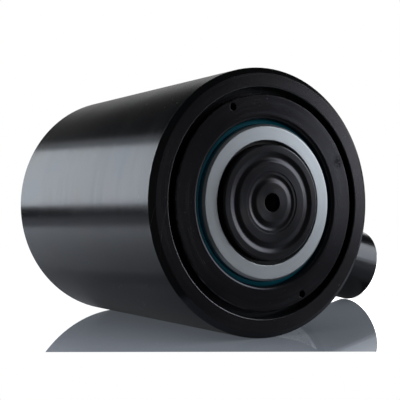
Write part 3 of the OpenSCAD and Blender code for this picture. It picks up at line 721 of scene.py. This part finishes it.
# Painted light and shadow: the veil is an emitted glow, darkened near the part by ambient occlusion as a
# painted shadow, and brighter near the front edge.
shaded_glow = acrylic.mix(nearby, (0.048, 0.055, 0.064, 1), (0.111, 0.123, 0.143, 1))
front_shaded_glow = acrylic.mix(nearby, (0.06, 0.068, 0.08, 1), (0.172, 0.19, 0.222, 1))
front_edge_glow = (1 - facing.ramp(0.846, 0.88)) * (1 - across.ramp(-0.03, 0.03))
floor_glow = acrylic.node("Emission", {}, {"Color": acrylic.mix(front_edge_glow, shaded_glow, front_shaded_glow), "Strength": 1.0})
mirror = acrylic.node("BsdfGlossy", {}, {"Color": (0.94, 0.94, 0.94, 1), "Roughness": 0.0})
seen = acrylic.node("AddShader", {}, {0: mirror, 1: floor_glow})

# Painted light: where the floor is seen steeply it glows, and its sheet is painted darker towards the front
# as painted shade.
steep = (1 - facing.ramp(0.3, 0.45)) * (1 - across.ramp(0.03, 0.08)) * (1 - depth.ramp(0.075, 0.105))
dimmer = acrylic.mix(depth.ramp(-0.1, 0.08), (0.212, 0.217, 0.24, 1), (0.12, 0.124, 0.137, 1))
sheet = acrylic.node("BsdfDiffuse", {}, {"Color": dimmer})
steep_glow_colour = acrylic.mix(steep, (0.038, 0.039, 0.04, 1), (0.4, 0.41, 0.42, 1))
steep_glow = acrylic.node("Emission", {}, {"Color": steep_glow_colour, "Strength": 1.0})
sheet = acrylic.node("AddShader", {}, {0: sheet, 1: steep_glow})
gleam = acrylic.node("BsdfGlossy", {}, {"Color": (1, 1, 1, 1), "Roughness": 0.03})
glance = acrylic.node("Fresnel", {}, {"IOR": 1.49}) * (0.65 - across.ramp(0.02, 0.08) * 0.35)
felt = acrylic.node("MixShader", {}, {0: glance, 1: sheet, 2: gleam})

both = acrylic.node("MixShader", {}, {0: ray("Is Camera Ray"), 1: felt, 2: seen})
clear = acrylic.node("BsdfTransparent")
top_side = acrylic.node("MixShader", {}, {0: unseen, 1: both, 2: clear})
acrylic.node("OutputMaterial", {}, {"Surface": top_side})
floor.data.materials.append(acrylic.holder)

# Paper and room: white paper hangs behind the part, brightest low down and towards the right.
# The part mirrors the paper, pale walls at the left and a dim room in front.
# The picture itself shows plain white behind the part.
world = bpy.data.worlds.new("studio")
bpy.context.scene.world = world
studio = Finish(world)
way = studio.node("TexCoord", give="Generated")


def towards(direction):
    """How far the light's direction leans towards another."""
    return studio.node("VectorMath", {"operation": "DOT_PRODUCT"}, {0: way, 1: direction}, give="Value")


def background(colour, strength):
    return studio.node("Background", {}, {"Color": colour, "Strength": strength})


rise = towards(lift)
forward = towards(out)
rightwards = towards(level)
fading = rise.math("EXPONENT", rise.most(0.0) * -5.2)
paper = fading * rise.ramp(0.115, 0.21) * towards(floor_ahead).ramp(0.6, 0.95)
bright_band = rise.ramp(0.33, 0.39) * 1.1
paper_top = rise.ramp(0.415, 0.46) * 1.95
paper = paper * (1 + bright_band - paper_top)
paper = paper * (0.9 + rise.ramp(0.2, 0.3) * (rightwards.ramp(0.1, 0.5) * 1.2 - 0.4))
room = forward.ramp(0.3, 0.8)
walls = forward.ramp(-0.62, -0.4) * (1 - forward.ramp(0.0, 0.2)) * (1 - rightwards.ramp(0.05, 0.4))
mirrored = background((1, 1, 1, 1), paper * 1.15 + room * 0.02 + walls * 0.45 + 0.015)
ambient = background((0.97, 0.98, 1, 1), 0.7)
plain_white = background((1, 1, 1, 1), 1.0)
diffuse_ray = studio.node("LightPath", give="Is Diffuse Ray")
plain = studio.node("LightPath", give="Is Camera Ray").most(studio.node("LightPath", give="Is Singular Ray"))
rays = studio.node("MixShader", {}, {0: diffuse_ray, 1: mirrored, 2: ambient})
sky = studio.node("MixShader", {}, {0: plain, 1: rays, 2: plain_white})
studio.node("OutputWorld", {}, {"Surface": sky})

# Lamps: large soft boxes, at the back left for the body's bright band and at the right for the face.
# Weak ones above and at the left fill the dark sides. None of them shows in the picture itself.


def softbox(name, place, aim, width, height, radiance, tint):
    """A soft lamp that shines from place towards aim."""
    lamp = bpy.data.lights.new(name, "AREA")
    lamp.shape = "RECTANGLE"
    lamp.size = width
    lamp.size_y = height
    lamp.energy = radiance * pi * width * height
    lamp.color = tint
    holder = bpy.data.objects.new(name, lamp)
    z = (place - aim).normalized()
    x = lift.cross(z).normalized()
    y = z.cross(x)
    holder.matrix_world = Matrix((
        (x.x, y.x, z.x, place.x), (x.y, y.y, z.y, place.y), (x.z, y.z, z.z, place.z), (0, 0, 0, 1)
    ))
    holder.visible_camera = False
    bpy.context.scene.collection.objects.link(holder)


face = spot(0, 0, body_h)
body_middle = spot(0, 0, 0.03)
left_tint = (0.9, 0.955, 1.0)
right_tint = (0.94, 0.965, 1.0)
back_tint = (0.98, 0.99, 1.0)
fill_tint = (0.97, 0.985, 1.0)
softbox(
    "lamp_left", spot(-0.246, 0.1545, -0.456), spot(0.709, 0.1545, -0.161),
    width=0.76, height=0.315, radiance=2.0, tint=left_tint
)
softbox(
    "lamp_left_mid", spot(-0.288, 0.15, -0.32), spot(0.667, 0.15, -0.025),
    width=0.4, height=0.306, radiance=0.6, tint=left_tint
)
softbox(
    "lamp_left_front", spot(-0.312, 0.138, -0.241), spot(0.643, 0.138, 0.054),
    width=0.24, height=0.282, radiance=0.95, tint=left_tint
)
softbox(
    "lamp_left_top", spot(-0.196, 0.35, -0.616), spot(0.759, 0.35, -0.321),
    width=0.46, height=0.08, radiance=0.42, tint=left_tint
)
softbox(
    "lamp_right", face + spot(0.7, 0.285, 0.335), face,
    width=0.54, height=0.44, radiance=3.7, tint=right_tint
)
softbox(
    "lamp_right_low", face + spot(0.667, 0.02, 0.326), face,
    width=0.52, height=0.12, radiance=1.9, tint=right_tint
)
softbox(
    "lamp_right_back", face + spot(0.55, 0.1, -0.46), face,
    width=0.2, height=0.3, radiance=1.0, tint=back_tint
)
softbox(
    "fill_top", spot(-0.4, 0.62, -0.25), body_middle,
    width=0.6, height=0.3, radiance=0.8, tint=fill_tint
)
softbox(
    "fill_left", spot(-0.75, 0.2, -0.1), body_middle,
    width=0.5, height=0.26, radiance=1.0, tint=fill_tint
)

bpy.context.scene.view_settings.view_transform = "Standard"
